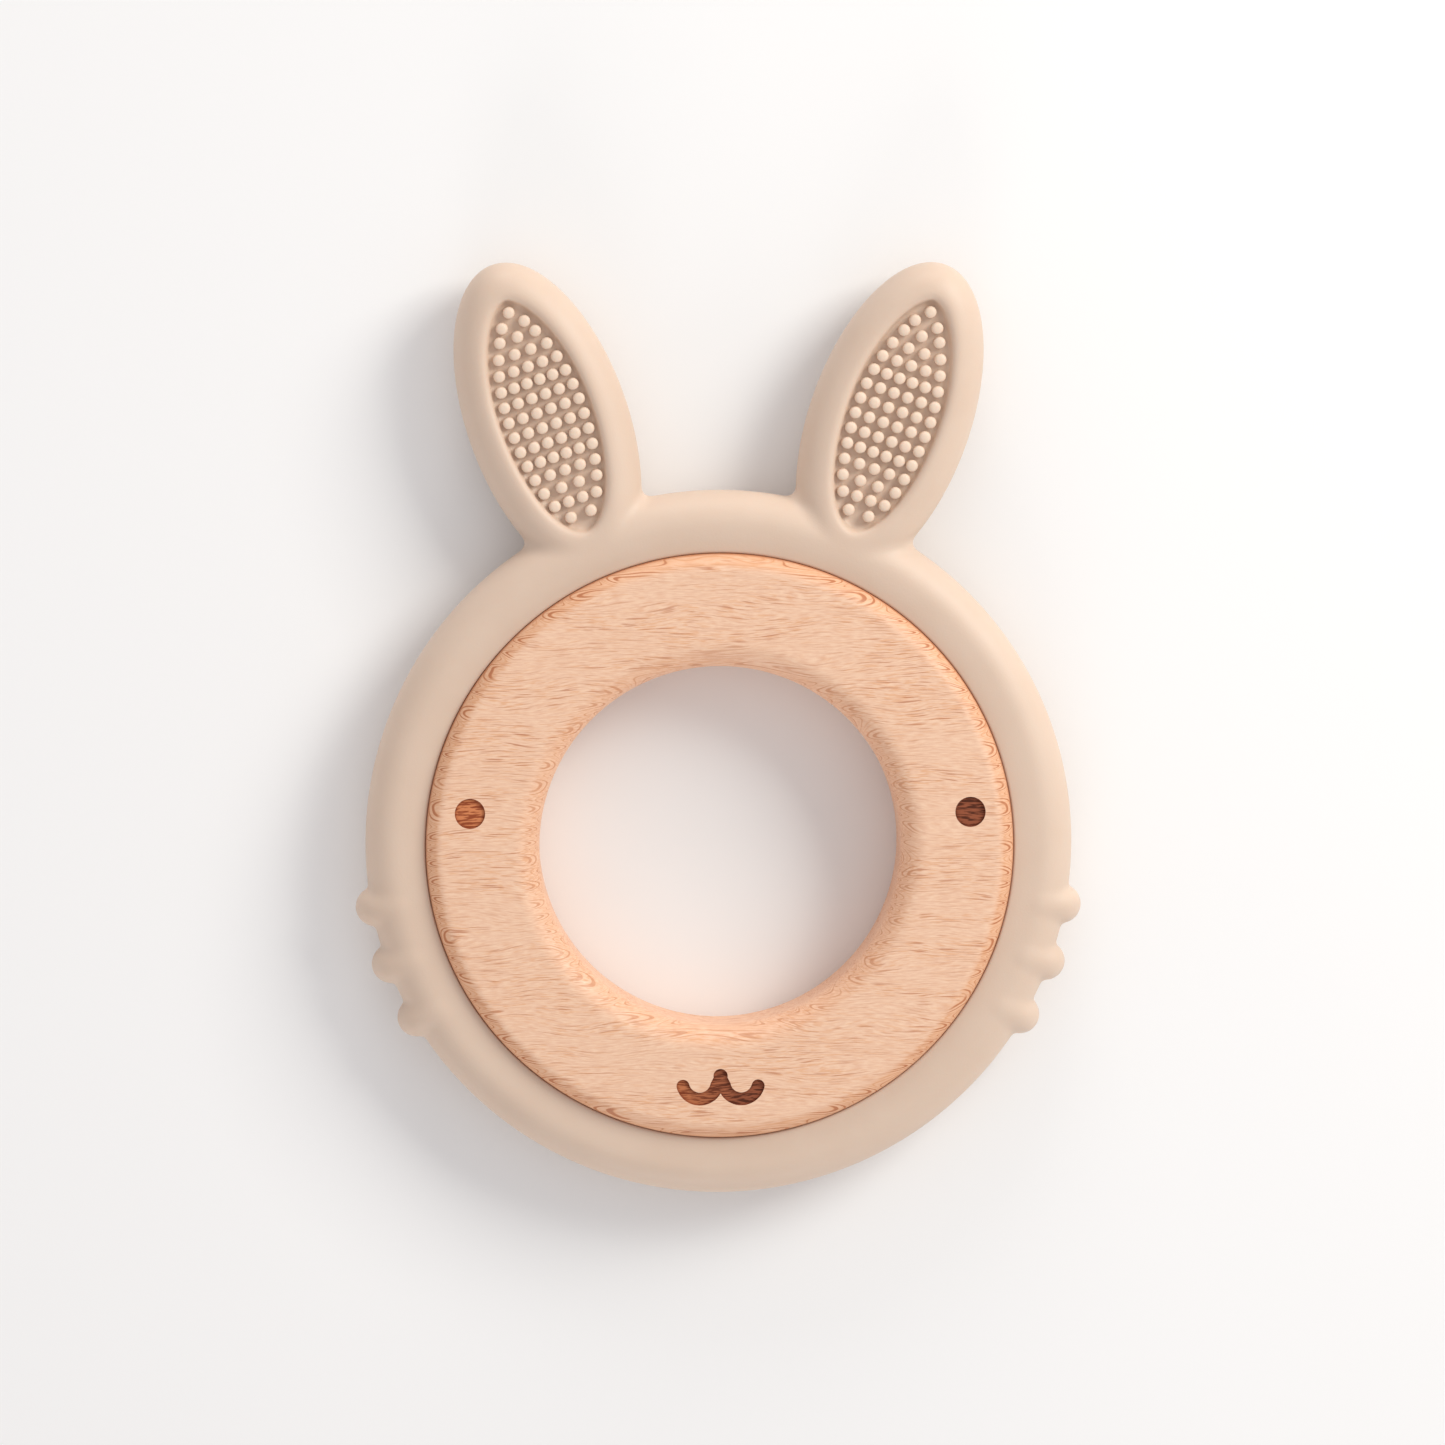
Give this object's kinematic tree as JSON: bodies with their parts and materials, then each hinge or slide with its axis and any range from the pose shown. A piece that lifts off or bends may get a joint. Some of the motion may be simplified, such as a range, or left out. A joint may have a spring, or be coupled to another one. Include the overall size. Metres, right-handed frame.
{
  "type": "teething ring",
  "caption": "Rabbit-shaped teething ring: a soft silicone rabbit outline with nubbed ears, stretched round a beech grip ring.",
  "frame": {"origin": "on the ring's axis, in the middle of the grip hole and of the thickness", "axes": "+Z along the ring's axis, out of the rabbit's face; +Y towards the ears; +X to the right of the face as seen"},
  "size_m": [0.0868, 0.1114, 0.012],
  "materials": {
    "silicone": "matte, food-grade silicone",
    "beech": "fine-sanded and waxed, face burnt in"
  },
  "bodies": {
    "silicone_rabbit": {"silicone_rabbit": "silicone"},
    "beech_ring": {"beech_ring": "beech"}
  },
  "joints": [
    {"name": "beech_ring_turn", "type": "hinge", "parent": "silicone_rabbit", "child": "beech_ring", "pos_m": [0, 0, 0], "axis": [0, 0, 1], "continuous": true}
  ]
}
